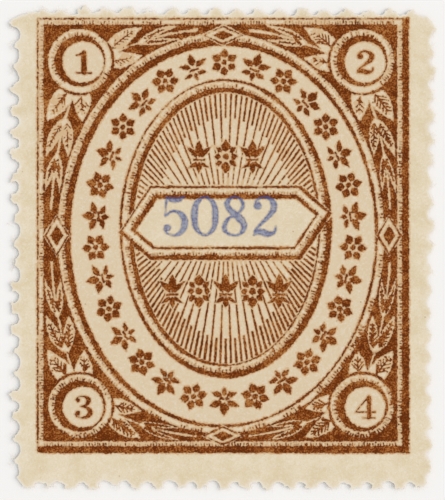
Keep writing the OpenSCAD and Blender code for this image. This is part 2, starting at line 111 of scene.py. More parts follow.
# Films of ink whose edges line the bare ribbons
LININGS = (
    "border_rule", "border_bosses", "oval_rule", "tablet_outer_rule", "tablet_inner_rule",
    *("ground_" + corner for corner in CORNERS), *("roundel_" + corner for corner in CORNERS),
    *(f"arch_{side}_rule_{half}" for side in ("outer", "inner") for half in HALVES),
)


def linear(code):
    """The linear colour of an sRGB hex code."""
    parts = [int(code[i:i + 2], 16) / 255 for i in (1, 3, 5)]
    return tuple(p / 12.92 if p <= 0.04045 else ((p + 0.055) / 1.055) ** 2.4 for p in parts)


def length(name, description, size):
    """A length property whose default is given in millimetres."""
    return FloatProperty(name=name, description=description, default=size * MM, min=0, precision=6,
                         unit="LENGTH", subtype="DISTANCE")


def colour(name, description, code):
    """A colour property whose default is given as an sRGB hex code."""
    return FloatVectorProperty(name=name, description=description, default=linear(code), size=3,
                               min=0, max=1, subtype="COLOR")


class StampSizes(bpy.types.PropertyGroup):
    """Sizes of the print's wear, the torn teeth and the numbers."""

    grid: length("Grid", "Spacing of the grid that a film's outline is traced on", 0.036)
    fine_grid: length("Fine grid", "Spacing of the grid that numbers are traced on", 0.03)
    wander: length("Edge wander", "How far an inked edge strays from its line", 0.02)
    blotch: length("Blotch", "Size of the grain that makes an inked edge stray", 0.13)
    tick: length("Tick", "Length of the fine ticks that shade a ribbon along a heavy edge", 0.23)
    tick_gap: length("Tick gap", "Distance from one tick to the next", 0.205)
    hatch_gap: length("Hatch gap", "Distance from one shading stroke of a leaf to the next", 0.29)
    tear: length("Tear", "How far the torn tip of a tooth strays", 0.05)
    tear_grain: length("Tear grain", "Size of the nicks in a torn tip", 0.22)
    fibre: length("Fibre", "Length of a paper fibre that sticks out of a torn tip", 0.2)
    figure_tall: length("Control number height", "Height of the control number's figures", 2.95)
    figure_gap: length("Control number advance", "From one figure of the control number to the next", 2.2)
    numeral_tall: length("Corner numeral height", "Height of the numeral in each corner roundel", 1.66)


class StampColours(bpy.types.PropertyGroup):
    """Colours of the paper, the gum, the inks and what lies behind."""

    paper: colour("Paper", "Face of the paper in the margin", "#E4D5B8")
    paper_deep: colour("Toned paper", "Clouds in the paper, and the paper seen through blue ink", "#D9C7A2")
    paper_torn: colour("Torn paper", "Fibres of the torn teeth", "#F0EADF")
    speck: colour("Speck", "Specks of bark in the paper", "#9A7A50")
    gum: colour("Gum", "Dried gum on the back", "#CDB27A")
    ink_dark: colour("Ink, full", "Printing ink where it lies thickest", "#5E2800")
    ink_mid: colour("Ink", "Printing ink in most places", "#86400A")
    ink_thin: colour("Ink, starved", "Printing ink where it lies thinnest", "#B2783F")
    ink_rim: colour("Ink, rim", "Paper just outside a stroke, stained by the ink's oil", "#D6B78E")
    scum: colour("Scummed paper", "Paper that took a faint tint from the printing stone", "#D9C3A2")
    blue_rim: colour("Number ink, rim", "Ink of the control number at the edge of a stroke", "#2A4284")
    blue: colour("Number ink", "Ink of the control number inside a stroke", "#7A86A4")
    floor: colour("Floor", "The card that the stamp lies on", "#F7F5F3")
    floor_deep: colour("Floor, clouds", "Faint clouds in the card", "#DAD9DA")
    backdrop: colour("Backdrop", "What shows behind the floor", "#F6F4F2")


class StampMarks(bpy.types.PropertyGroup):
    """The plain numbers that the stamp carries."""

    control: StringProperty(name="Control number", default="5082",
                            description="Figures stamped in the tablet, each from 0 to 5 or 8")
    corners: StringProperty(name="Corner numerals", default="1234",
                            description="One figure for each corner, each from 0 to 5 or 8")


def sides_of(triangles):
    """The directed sides of some triangles: all first ones, then all second ones, then all third ones."""
    return np.concatenate([triangles[:, [0, 1]], triangles[:, [1, 2]], triangles[:, [2, 0]]])


def rim(triangles):
    """The directed edges that only one triangle has. The covered side is on their left."""
    edges = sides_of(triangles)
    many = edges.max() + 1
    return edges[~np.isin(edges[:, 0] * many + edges[:, 1], edges[:, 1] * many + edges[:, 0])]


# Corners of a CAD mesh are one where they agree to this many digits of a millimetre, and lie on its upper
# face if they are this near to it
CAD_DIGITS = 4
FACE_SLACK = 1e-3


def top_outline(name):
    """Outline of a flat CAD node's upper face: the two ends of each of its edges, in millimetres."""
    mesh = frame["nodes"][name].data
    mesh.calc_loop_triangles()
    places = np.array([v.co for v in mesh.vertices]) / MM
    triangles = np.array([t.vertices for t in mesh.loop_triangles])
    on_top = np.isclose(places[triangles, 2], places[:, 2].max(), atol=FACE_SLACK).all(axis=1)
    corners, same = np.unique(places[:, :2].round(CAD_DIGITS), axis=0, return_inverse=True)
    return corners[rim(same.reshape(-1)[triangles[on_top]])]


def loops_of(outline):
    """The closed loops that the edges of an outline make, each as its corners in order."""
    leads = {tuple(start): end for start, end in outline}
    loops = []
    while leads:
        first, point = leads.popitem()
        loop = [first]
        while tuple(point) != first:
            loop.append(tuple(point))
            point = leads.pop(tuple(point))
        loops.append(np.array(loop))
    return loops


def past_stroke(x, y, start, end, half_start, half_end):
    """How far points lie outside a straight stroke with round ends, in millimetres."""
    way = np.subtract(end, start)
    share = ((x - start[0]) * way[0] + (y - start[1]) * way[1]) / max(way @ way, TOUCH)
    share = np.clip(share, 0, 1)
    off = np.hypot(x - start[0] - share * way[0], y - start[1] - share * way[1])
    return off - half_start - share * (half_end - half_start)


# Marching squares. A cell's code adds 1, 2, 4 and 8 for its covered corners, counted round from the lower
# left. Each line across it leaves by one side and ends on another, counted round from the bottom.
CELL_LINES = (
    (1, 0, 3), (2, 1, 0), (4, 2, 1), (8, 3, 2), (3, 1, 3), (6, 2, 0), (12, 3, 1), (9, 0, 2),
    (7, 2, 3), (11, 1, 2), (13, 0, 1), (14, 3, 0), (5, 0, 3), (5, 2, 1), (10, 1, 0), (10, 3, 2),
)


class Patch:
    """A window of the sheet as a grid of depths in millimetres.

    A depth is the distance to the nearest edge, up to REACH. It is above 0 where the sheet is covered.
    """

    REACH = 0.3
    # A blotch of the smooth noise is this many spreads of its blur across
    BLOTCH_SPREADS = 3
    # The slow part of an edge's stray: its size in blotches, and its strength beside the quick part
    SLOW_SIZE, SLOW_SHARE = 8, 0.5
    # Stray specks: the size of their grain in blotches, how many spreads rarer they are at REACH from ink,
    # and how far short of REACH they end
    SPECK_SIZE, SPECK_FALL, SPECK_END = 0.7, 3, 0.02
    # How much of a tick's length any edge gives, how much more the edge that looks straight at the light
    # gives, and the least that is drawn
    EVEN_LIGHT, STRAIGHT_LIGHT, DIMMEST = 0.3, 0.8, 0.15
    # An edge is heavy if its film is this deep at this distance behind the edge
    HEAVY_DEPTH, HEAVY_BEHIND = 0.1, 0.13
    # The spread of a tick's place is the gap over this number
    TICK_STRAY = 8
    # Half a tick's width at its root and its tip, the spread of its lean, the range of its length, and the
    # most of a ribbon that it crosses
    TICK_HALF, TICK_LEAN, TICK_RANGE, TICK_MOST = (0.055, 0.03), 0.12, (0.6, 1.2), 0.55
    # The share of the ticks that have a dot past their tip, half its width, and its least distance in ticks
    DOT_SHARE, DOT_HALF, DOT_GAP = 0.4, 0.032, 0.4

    def __init__(self, name, places, step):
        self.step = step
        # The name is the seed, so each patch wears the same way every time
        self.random = np.random.default_rng(list(name.encode()))
        low, high = places.min(0) - self.REACH - step, places.max(0) + self.REACH + 2 * step
        self.x = np.arange(low[0], high[0], step)
        self.y = np.arange(low[1], high[1], step)
        self.depth = np.full((len(self.y), len(self.x)), -self.REACH)

    def near(self, places, reach):
        """The part of the grid within reach of some places: its window, and its x and y."""
        low = np.floor((places.min(0) - reach - (self.x[0], self.y[0])) / self.step).astype(int)
        high = np.ceil((places.max(0) + reach - (self.x[0], self.y[0])) / self.step).astype(int)
        low = np.maximum(low, 0)
        high = np.maximum(high, 0)
        rows, columns = slice(low[1], high[1] + 1), slice(low[0], high[0] + 1)
        return (rows, columns), self.x[None, columns], self.y[rows, None]

    def enclosed(self, outline):
        """Which grid points an outline encloses, by counting along each row the edges that cross it."""
        (x0, y0), (x1, y1) = outline[:, 0].T, outline[:, 1].T
        first = np.ceil((np.minimum(y0, y1) - self.y[0]) / self.step).astype(int)
        count = np.ceil((np.maximum(y0, y1) - self.y[0]) / self.step).astype(int) - first
        edge = np.repeat(np.arange(len(outline)), count)
        row = first[edge] + np.arange(len(edge)) - np.repeat(np.cumsum(count) - count, count)
        share = (self.y[row] - y0[edge]) / (y1 - y0)[edge]
        column = np.ceil((x0[edge] + share * (x1 - x0)[edge] - self.x[0]) / self.step).astype(int)
        crossings = np.zeros(self.depth.shape, int)
        np.add.at(crossings, (row, column), 1)
        return np.cumsum(crossings, axis=1) % 2 == 1

    def fill(self, outline):
        """Covers what an outline encloses."""
        nearest = np.full(self.depth.shape, self.REACH)
        for edge in outline:
            window, x, y = self.near(edge, self.REACH)
            nearest[window] = np.minimum(nearest[window], past_stroke(x, y, *edge, 0, 0))
        self.depth = np.where(self.enclosed(outline), nearest, -nearest)

    def stroke(self, start, end, half_start, half_end):
        """Covers a straight stroke with round ends."""
        window, x, y = self.near(np.array([start, end]), max(half_start, half_end) + self.REACH)
        past = past_stroke(x, y, start, end, half_start, half_end)
        self.depth[window] = np.maximum(self.depth[window], -past)

    def fringe(self, name, outline, size, gap):
        """Shades the bare ribbons with even ticks and dots, from the heavy edges of a film.

        Those are on a ribbon's lower right. size is the length of a tick where the edge looks straight at
        the light, and gap the distance from one to the next.
        """
        way = outline[:, 1] - outline[:, 0]
        run = np.hypot(*way.T)
        past = np.cumsum(run)
        along = np.arange(gap / 2, past[-1], gap)
        along = along + self.random.normal(0, gap / self.TICK_STRAY, len(along))
        along = np.clip(along, 0, past[-1] - TOUCH)
        edge = np.searchsorted(past, along, side="right")
        ahead = way[edge] / run[edge, None]
        root = outline[edge, 1] - ahead * (past[edge] - along)[:, None]
        out = np.stack([ahead[:, 1], -ahead[:, 0]], axis=1)
        lit = np.clip(self.EVEN_LIGHT + self.STRAIGHT_LIGHT * out @ LIT_FROM, 0, 1)
        ribbon = ribbon_width(name, root, out)
        heavy = self.depth_at(root - self.HEAVY_BEHIND * out) > self.HEAVY_DEPTH
        drawn = (lit > self.DIMMEST) & heavy & (ribbon > 0)
        reach = np.minimum(size * lit, self.TICK_MOST * ribbon)
        reach = reach * self.random.uniform(*self.TICK_RANGE, len(edge))
        lean = self.random.normal(0, self.TICK_LEAN, len(edge))
        tip = root + (out + lean[:, None] * ahead) * reach[:, None]
        for start, end, dot in zip(root[drawn], tip[drawn], self.random.uniform(0, 1, drawn.sum())):
            self.stroke(2 * start - end, end, *self.TICK_HALF)
            if dot < self.DOT_SHARE:
                past_end = end + (end - start) * (self.DOT_GAP + dot)
                self.stroke(past_end, past_end, self.DOT_HALF, self.DOT_HALF)

    def grain(self, size):
        """Smooth noise with a spread of 1 whose blotches are about that size."""
        rows, columns = self.depth.shape
        across = np.fft.rfftfreq(columns, self.step)[None, :]
        along = np.fft.fftfreq(rows, self.step)[:, None]
        soft = np.exp(-2 * (math.pi * size / self.BLOTCH_SPREADS) ** 2 * (across ** 2 + along ** 2))
        sharp = np.fft.rfft2(self.random.standard_normal(self.depth.shape))
        blurred = np.fft.irfft2(sharp * soft, self.depth.shape)
        return blurred / blurred.std()

    def wear(self, wander, blotch, pits, strays):
        """Lets the edges stray, opens pits in the ink, and leaves stray specks close outside it.

        pits and strays are how many spreads of the noise it takes for a pit and for a speck. Specks thin
        out with their distance from the ink.
        """
        far = np.clip(-self.depth / self.REACH, 0, 1)
        quick = self.grain(blotch)
        depth = self.depth + wander * (quick + self.SLOW_SHARE * self.grain(blotch * self.SLOW_SIZE))
        depth = np.minimum(depth, blotch / 2 * (self.grain(blotch) + pits))
        specks = blotch * (self.grain(blotch * self.SPECK_SIZE) - strays - self.SPECK_FALL * far)
        near = self.depth > self.SPECK_END - self.REACH
        self.depth = np.where(near, np.maximum(depth, specks), depth)

    def depth_at(self, places):
        """The depth at any places, between the grid points."""
        at = (places - (self.x[0], self.y[0])) / self.step
        # The last place stays a little short of the last grid point, which has no cell after it
        at = np.clip(at, 0, (len(self.x) - 1.01, len(self.y) - 1.01))
        column, row = np.floor(at).astype(int).T
        right, up = (at - np.floor(at)).T
        low = self.depth[row, column] * (1 - right) + self.depth[row, column + 1] * right
        high = self.depth[row + 1, column] * (1 - right) + self.depth[row + 1, column + 1] * right
        return low * (1 - up) + high * up

    def loops(self, level=0.0, least=0.0008):
        """Outlines of what lies deeper than a level, which is on their left.

        least is the area in square millimetres that an outline has to have.
        """
        depth = self.depth - level
        depth[:, (0, -1)] = depth[(0, -1), :] = -self.REACH
        inside = depth > 0
        rows, columns = depth.shape
        fall_right, fall_up = depth[:, :-1] - depth[:, 1:], depth[:-1] - depth[1:]
        across = depth[:, :-1] / np.where(inside[:, :-1] != inside[:, 1:], fall_right, np.inf)
        upward = depth[:-1] / np.where(inside[:-1] != inside[1:], fall_up, np.inf)
        flat = np.arange(rows * (columns - 1)).reshape(rows, columns - 1)
        tall = flat.size + np.arange((rows - 1) * columns).reshape(rows - 1, columns)
        x = np.concatenate([(self.x[None, :-1] + across * self.step).ravel(),
                            np.broadcast_to(self.x, upward.shape).ravel()])
        y = np.concatenate([np.broadcast_to(self.y[:, None], across.shape).ravel(),
                            (self.y[:-1, None] + upward * self.step).ravel()])
        code = inside[:-1, :-1] + 2 * inside[:-1, 1:] + 4 * inside[1:, 1:] + 8 * inside[1:, :-1]
        sides = (flat[:-1], tall[:, 1:], flat[1:], tall[:, :-1])
        leads = dict()
        for which, leave, arrive in CELL_LINES:
            here = code == which
            leads.update(zip(sides[leave][here].tolist(), sides[arrive][here].tolist()))
        found = []
        while leads:
            start, point = leads.popitem()
            loop = [start]
            while point != start:
                loop.append(point)
                point = leads.pop(point)
            loop = thinned(np.stack([x[loop], y[loop]], axis=1), self.step / THIN_PARTS)
            if abs(area(loop)) > least:
                found.append(loop)
        return found


# Spacing of the grid that tells how wide ribbons are, and distances at which their far side is looked for
LINING_GRID = 0.04
LINING_STEPS = np.arange(0.1, 0.75, 0.03)


@functools.cache
def lining_map():
    """A grid of the printed sheet, and which of the lining films lies at each of its points, from 1."""
    patch = Patch("linings", top_outline("border_rule").reshape(-1, 2), LINING_GRID)
    which = np.zeros(patch.depth.shape, int)
    for i, name in enumerate(LININGS, 1):
        which[patch.enclosed(top_outline(name))] = i
    return patch, which


def ribbon_width(name, places, out):
    """How wide the bare ribbon is from places on a film's edge to another film, and 0 where there is none.

    out leads away from the film.
    """
    patch, which = lining_map()
    seen = places[:, None] + out[:, None] * LINING_STEPS[:, None]
    column, row = ((seen - (patch.x[0], patch.y[0])) / patch.step).round().astype(int).transpose(2, 0, 1)
    seen = which[np.clip(row, 0, len(patch.y) - 1), np.clip(column, 0, len(patch.x) - 1)]
    nearest = (seen > 0).argmax(axis=1)
    first = seen[np.arange(len(seen)), nearest]
    return np.where((first > 0) & (first != LININGS.index(name) + 1), LINING_STEPS[nearest], 0)


def area(loop):
    """Area inside a closed outline, below 0 where it runs clockwise."""
    after = np.roll(loop, -1, axis=0)
    return (loop[:, 0] * after[:, 1] - loop[:, 1] * after[:, 0]).sum() / 2


# A traced point goes if it is nearer to its neighbours' line than the grid step over the first number. The
# second is how many times every other point is tried
THIN_PARTS = 9
THIN_TURNS = 6


def thinned(loop, slack):
    """A closed outline without the points that lie within a slack of the line between their neighbours."""
    for turn in range(THIN_TURNS):
        before, after = np.roll(loop, 1, axis=0), np.roll(loop, -1, axis=0)
        chord = after - before
        off = np.abs(chord[:, 0] * (loop - before)[:, 1] - chord[:, 1] * (loop - before)[:, 0])
        spare = off < slack * np.hypot(*chord.T)
        spare &= np.arange(len(loop)) % 2 == turn % 2
        if len(loop) - spare.sum() < 4:
            return loop
        loop = loop[~spare]
    return loop


def filled(loops):
    """Triangulates what lies on the left of some outlines: its corners, and three of them a triangle."""
    points = np.concatenate(loops)
    sizes = [len(loop) for loop in loops]
    start = np.repeat(np.cumsum(sizes) - sizes, sizes)
    here = np.arange(len(points))
    after = start + (here - start + 1) % np.repeat(sizes, sizes)
    corners, edges, faces, _, source, _ = delaunay_2d_cdt(
        [Vector(p) for p in points], list(zip(here.tolist(), after.tolist())), [], 0, TOUCH, True)
    corners, edges, triangles = np.array([tuple(c) for c in corners]), np.array(edges), np.array(faces)
    traced = np.array([ids[0] if ids else -1 for ids in source])
    edges, traced = edges[traced >= 0], traced[traced >= 0]
    way = corners[edges[:, 1]] - corners[edges[:, 0]]
    runs_back = (way * (points[after] - points)[traced]).sum(axis=1) < 0
    edges[runs_back] = edges[runs_back, ::-1]
    return corners, triangles[on_left(triangles, edges, len(corners))]


def on_left(triangles, edges, many):
    """Which triangles lie on the left of directed edges, or are joined to one that does."""
    sides = sides_of(triangles)
    owner = np.tile(np.arange(len(triangles)), 3)
    key, back = sides[:, 0] * many + sides[:, 1], sides[:, 1] * many + sides[:, 0]
    drawn = edges[:, 0] * many + edges[:, 1]
    side = np.zeros(len(triangles), int)
    side[owner[np.isin(back, drawn)]] = -1
    side[owner[np.isin(key, drawn)]] = 1
    open_side = ~np.isin(key, drawn) & ~np.isin(back, drawn)
    order = np.argsort(key)
    match = np.minimum(np.searchsorted(key[order], back), len(key) - 1)
    paired = open_side & (key[order][match] == back)
    one, other = owner[paired], owner[order[match]][paired]
    while True:
        told = (side[one] == 0) & (side[other] != 0)
        if not told.any():
            return side > 0
        side[one[told]] = side[other[told]]


# Corners of neighbouring rings are one where they agree to this many digits of a millimetre
RING_DIGITS = 5


def cut_out(patch, levels=(0.0,)):
    """Triangulates the covered part of a patch, with a ring of points at each level."""
    rings = [patch.loops(level) for level in levels] + [[]]
    parts = [filled(outer + [loop[::-1] for loop in inner]) for outer, inner in zip(rings, rings[1:])]
    starts = np.cumsum([0] + [len(corners) for corners, _ in parts])
    corners = np.concatenate([corners for corners, _ in parts])
    triangles = np.concatenate([faces + start for (_, faces), start in zip(parts, starts)])
    _, first, same = np.unique(corners.round(RING_DIGITS), axis=0, return_index=True, return_inverse=True)
    return corners[first], same.reshape(-1)[triangles]


def solid(name, corners, faces):
    """Adds an object to the scene from its corners, in millimetres, and its faces."""
    mesh = bpy.data.meshes.new(name)
    mesh.from_pydata((np.asarray(corners) * MM).tolist(), [], faces)
    mesh.validate()
    piece = bpy.data.objects.new(name, mesh)
    bpy.context.scene.collection.objects.link(piece)
    return piece


def plate(name, corners, triangles, top, low):
    """A closed plate over flat triangles. top is its height, or one height for each corner."""
    many = len(corners)
    upper = np.column_stack([corners, np.broadcast_to(top, many)])
    lower = np.column_stack([corners, np.full(many, low)])
    walls = rim(triangles)
    walls = np.column_stack([walls + many, walls[:, ::-1]])
    faces = triangles.tolist() + (triangles[:, ::-1] + many).tolist() + walls.tolist()
    return solid(name, np.concatenate([upper, lower]), faces)


def strands(name, paths, thickness, taper):
    """Three-sided threads along paths. taper is the share of the thickness that is left at the far end."""
    places, faces = [], []
    for path in paths:
        path = np.asarray(path)
        way = np.gradient(path, axis=0)
        side = np.cross(way, (0, 0, 1))
        side /= np.linalg.norm(side, axis=1)[:, None]
        rise = np.cross(side, way / np.linalg.norm(way, axis=1)[:, None])
        half = thickness / 2 * np.linspace(1, taper, len(path))[:, None]
        start = len(places)
        for turn in range(3):
            angle = turn * math.tau / 3
            places.extend(path + half * (math.cos(angle) * side + math.sin(angle) * rise))
        many = len(path)
        for turn in range(3):
            here, there = start + turn * many, start + (turn + 1) % 3 * many
            faces.extend((here + i, here + i + 1, there + i + 1, there + i) for i in range(many - 1))
        faces.append((start, start + many, start + 2 * many))
        faces.append((start + 3 * many - 1, start + 2 * many - 1, start + many - 1))
    return solid(name, places, faces)


def wire(tree, made, inputs):
    """Gives each named socket of a node its value, or links it to an output."""
    for name, value in inputs.items():
        if isinstance(value, bpy.types.NodeSocket):
            tree.links.new(value, made.inputs[name])
        else:
            made.inputs[name].default_value = value


def node(tree, kind, inputs=None, ramp=None, **settings):
    """Adds a node. inputs gives each socket's value, or the output that it is linked to."""
    made = tree.nodes.new(kind)
    for name, value in settings.items():
        setattr(made, name, value)
    wire(tree, made, inputs or {})
    if ramp:
        stops = made.color_ramp.elements
        for _ in ramp[2:]:
            stops.new(0.5)
        for stop, (place, shade) in zip(stops, ramp):
            stop.position = place
            stop.color = (*shade, 1)
    return made


def per_metre(size):
    """Scale of a texture whose features are about that many millimetres."""
    return 1 / (size * MM)


def finish(name, build):
    """The material of that name, built by a function the first time it is asked for."""
    found = bpy.data.materials.get(name)
    if found is None:
        found = bpy.data.materials.new(name)
        found.use_nodes = True
        tree = found.node_tree
        tree.nodes.clear()
        shader = node(tree, "ShaderNodeBsdfPrincipled")
        node(tree, "ShaderNodeOutputMaterial", {"Surface": shader.outputs["BSDF"]})
        place = node(tree, "ShaderNodeTexCoord").outputs["Object"]
        build(tree, shader, place, bpy.context.scene.stamp_colours)
    return found


def noise(tree, place, size, detail=3.0, roughness=0.55, distortion=0.0):
    """Value of a cloud texture whose features are about that many millimetres."""
    return node(tree, "ShaderNodeTexNoise", {
        "Vector": place, "Scale": per_metre(size), "Detail": detail, "Roughness": roughness,
        "Distortion": distortion}).outputs["Fac"]


def between(tree, value, low, high, start=0.0, end=1.0):
    """A value spread from low and high to start and end, smoothly."""
    return node(tree, "ShaderNodeMapRange", {
        "Value": value, "From Min": low, "From Max": high, "To Min": start, "To Max": end},
        interpolation_type="SMOOTHSTEP").outputs["Result"]


def mix(tree, share, one, other):
    """One colour and another, mixed by a share. Each is a colour or an output."""
    one, other = [(*c, 1) if isinstance(c, tuple) else c for c in (one, other)]
    return node(tree, "ShaderNodeMix", {0: share, 6: one, 7: other}, data_type="RGBA").outputs[2]


def sums(tree, operation, one, other):
    """Two values put together by an operation."""
    return node(tree, "ShaderNodeMath", {0: one, 1: other}, operation=operation).outputs[0]


def middle_of(name):
    """Middle of a CAD node's box, seen from above, in millimetres."""
    low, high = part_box(name)
    return np.array((low + high)[:2]) / 2 / MM


def half_of(name):
    """Half the width and height of a CAD node's box, seen from above, in millimetres."""
    low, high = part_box(name)
    return np.array((high - low)[:2]) / 2 / MM


def wove_paper(tree, shader, place, colours):
    """Toned rag paper, wove and lightly sized: soft clouds, short fibres at all angles and bark specks.

    A tooth's torn tip shows the paler inner fibres. The print left a faint tint, less of it in the tablet.
    """
    paper, deep, torn = (tuple(c) for c in (colours.paper, colours.paper_deep, colours.paper_torn))
    axes = node(tree, "ShaderNodeSeparateXYZ", {"Vector": place})
    windows = []
    for name, blur in (("border_rule", 0.3), ("tablet_inner_rule", 0.5)):
        window = 1.0
        for axis, centre, reach in zip(axes.outputs, middle_of(name), half_of(name)):
            off = sums(tree, "ABSOLUTE", sums(tree, "SUBTRACT", axis, centre * MM), 0.0)
            within = between(tree, off, (reach - blur) * MM, (reach + blur) * MM, 1, 0)
            window = sums(tree, "MULTIPLY", window, within)
        windows.append(window)
    under = sums(tree, "SUBTRACT", windows[0], sums(tree, "MULTIPLY", windows[1], 0.6))
    clouds = noise(tree, place, 1.6, 4, 0.65)
    # Rag fibres are about 0.02 mm thick, too fine to show, so they are drawn as tufts ten times as coarse
    fibres = noise(tree, place, 0.2, 4, 0.75, 1.2)
    tone = mix(tree, between(tree, clouds, 0.38, 0.65, 0.0, 0.7), paper, deep)
    tone = mix(tree, sums(tree, "MULTIPLY", under, 0.85), tone, tuple(colours.scum))
    tone = mix(tree, between(tree, fibres, 0.45, 0.68, 0.0, 0.4), tone, torn)
    tone = mix(tree, between(tree, fibres, 0.5, 0.32, 0.0, 0.6), tone, deep)
    bark = node(tree, "ShaderNodeTexVoronoi", {"Vector": place, "Scale": per_metre(1.5), "Randomness": 1.0})
    tone = mix(tree, between(tree, bark.outputs["Distance"], 0.02, 0.055, 0.55, 0.0), tone,
               tuple(colours.speck))
    edge = node(tree, "ShaderNodeAttribute", attribute_name="torn").outputs["Fac"]
    tone = mix(tree, edge, tone, torn)
    relief = sums(tree, "ADD", fibres, sums(tree, "MULTIPLY", noise(tree, place, 0.7, 2), 0.6))
    bump = node(tree, "ShaderNodeBump", {"Height": relief, "Strength": 0.3, "Distance": 0.02 * MM})
    wire(tree, shader, {"Base Color": tone, "Roughness": 0.88, "Specular IOR Level": 0.25,
                        "Normal": bump.outputs["Normal"]})


def torn_fibre(tree, shader, place, colours):
    """Single rag fibres: pale, dull and a little uneven along their length."""
    tone = mix(tree, noise(tree, place, 0.1), tuple(colours.paper_torn), tuple(colours.paper))
    wire(tree, shader, {"Base Color": tone, "Roughness": 0.9})


def gum_arabic(tree, shader, place, colours):
    """Gum arabic, brushed on wet and dried: a yellow gloss with long brush streaks and fine cracks."""
    wide = node(tree, "ShaderNodeMapping", {"Vector": place, "Scale": (0.12, 1.0, 1.0)}).outputs["Vector"]
    streaks = noise(tree, wide, 0.5, 4, 0.6)
    cracks = node(tree, "ShaderNodeTexVoronoi", {"Vector": place, "Scale": per_metre(1.1)},
                  feature="DISTANCE_TO_EDGE").outputs["Distance"]
    tone = mix(tree, between(tree, streaks, 0.3, 0.7), tuple(colours.gum), tuple(colours.paper))
    tone = mix(tree, between(tree, cracks, 0.0, 0.03, 0.35, 0.0), tone, tuple(colours.speck))
    gloss = between(tree, streaks, 0.2, 0.8, 0.22, 0.38)
    bump = node(tree, "ShaderNodeBump", {"Height": streaks, "Strength": 0.4, "Distance": 0.02 * MM})
    wire(tree, shader, {"Base Color": tone, "Roughness": gloss, "Normal": bump.outputs["Normal"]})


def stone_ink(tree, shader, place, colours):
    """Red-brown linseed printing ink pulled from a stone: dull, and grained by the stone and the paper.

    It thins out at its edges, and its oil stains the paper just outside.
    """
    # A stone's grain is too fine to show, so it is drawn as coarse as 0.12 mm
    grain = noise(tree, place, 0.12, 3, 0.7)
    mottle = noise(tree, place, 0.5, 3, 0.6)
    clouds = noise(tree, place, 3.0, 2, 0.5)
    strength = sums(tree, "ADD", grain, sums(tree, "MULTIPLY", sums(tree, "SUBTRACT", mottle, 0.5), 0.4))
    strength = sums(tree, "ADD", strength, sums(tree, "MULTIPLY", sums(tree, "SUBTRACT", clouds, 0.5), 0.3))
    ramp = node(tree, "ShaderNodeValToRGB", {"Fac": strength}, ramp=[
        (0.42, tuple(colours.ink_dark)), (0.52, tuple(colours.ink_mid)), (0.66, tuple(colours.ink_thin))])
    bare = node(tree, "ShaderNodeAttribute", attribute_name="bare").outputs["Fac"]
    tone = mix(tree, bare, ramp.outputs["Color"], tuple(colours.ink_rim))
    bump = node(tree, "ShaderNodeBump", {"Height": grain, "Strength": 0.3, "Distance": 0.012 * MM})
    wire(tree, shader, {"Base Color": tone, "Roughness": 0.75, "Specular IOR Level": 0.1,
                        "Normal": bump.outputs["Normal"]})


def number_ink(tree, shader, place, colours):
    """Thin blue numbering ink, stamped on: it squeezes to a dark rim round each stroke.

    Inside the strokes the paper shows through. Over the brown ink, the two are nearly black together.
    """
    edge = node(tree, "ShaderNodeAttribute", attribute_name="rim").outputs["Fac"]
    mottle = noise(tree, place, 0.24, 3, 0.7)
    share = sums(tree, "ADD", sums(tree, "MULTIPLY", edge, 0.3), between(tree, mottle, 0.43, 0.6, 0, 1.0))
    tone = mix(tree, share, tuple(colours.blue), tuple(colours.blue_rim))
    worn = between(tree, noise(tree, place, 0.28, 3, 0.7), 0.5, 0.68, 0.0, 0.5)
    bare = node(tree, "ShaderNodeAttribute", attribute_name="bare").outputs["Fac"]
    tone = mix(tree, sums(tree, "MAXIMUM", worn, bare), tone, tuple(colours.paper_deep))
    over = node(tree, "ShaderNodeAttribute", attribute_name="over").outputs["Fac"]
    tone = mix(tree, over, tone, mix(tree, mottle, tuple(colours.ink_dark), tuple(colours.blue_rim)))
    bump = node(tree, "ShaderNodeBump", {"Height": mottle, "Strength": 0.25, "Distance": 0.015 * MM})
    wire(tree, shader, {"Base Color": tone, "Roughness": 0.75, "Normal": bump.outputs["Normal"]})


def pale_card(tree, shader, place, colours):
    """Smooth white card: dull, with the faintest clouds."""
    clouds = between(tree, noise(tree, place, 6), 0.3, 0.7, 0, 0.06)
    tone = mix(tree, clouds, tuple(colours.floor), tuple(colours.floor_deep))
    wire(tree, shader, {"Base Color": tone, "Roughness": 0.9, "Specular IOR Level": 0.0})


def seat(piece, material, slot, *replaced):
    """Gives a piece its material and its place in the frame."""
    piece.data.materials.clear()
    piece.data.materials.append(material)
    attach(piece, "root")
    if replaced:
        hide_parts(*replaced)
    return piece


def add_mark(piece, name, values):
    """Stores a value from 0 to 1 for each corner of a plate, upper face first."""
    both = np.tile(np.clip(values, 0, 1), 2).astype(np.float32)
    piece.data.attributes.new(name, "FLOAT", "POINT").data.foreach_set("value", both)


def film_patch(name):
    """The patch that a flat CAD node covers, and the node's outline."""
    outline = top_outline(name)
    patch = Patch(name, outline.reshape(-1, 2), bpy.context.scene.stamp_sizes.grid / MM)
    patch.fill(outline)
    return patch, outline


def inked(name, patch, top, levels, **marks):
    """A plate of ink with a ring of points at each level. marks are values at those levels, by their names.

    One of them is bare, how much of the paper shows through. The ink's face is at top where none shows.
    """
    corners, triangles = cut_out(patch, levels)
    marks = {mark: np.interp(patch.depth_at(corners), levels, values) for mark, values in marks.items()}
    piece = plate(name, corners, triangles, top - STAIN_DROP * marks["bare"], PAPER_TOP - INK_SUNK)
    for mark, values in marks.items():
        add_mark(piece, mark, values)
    return piece


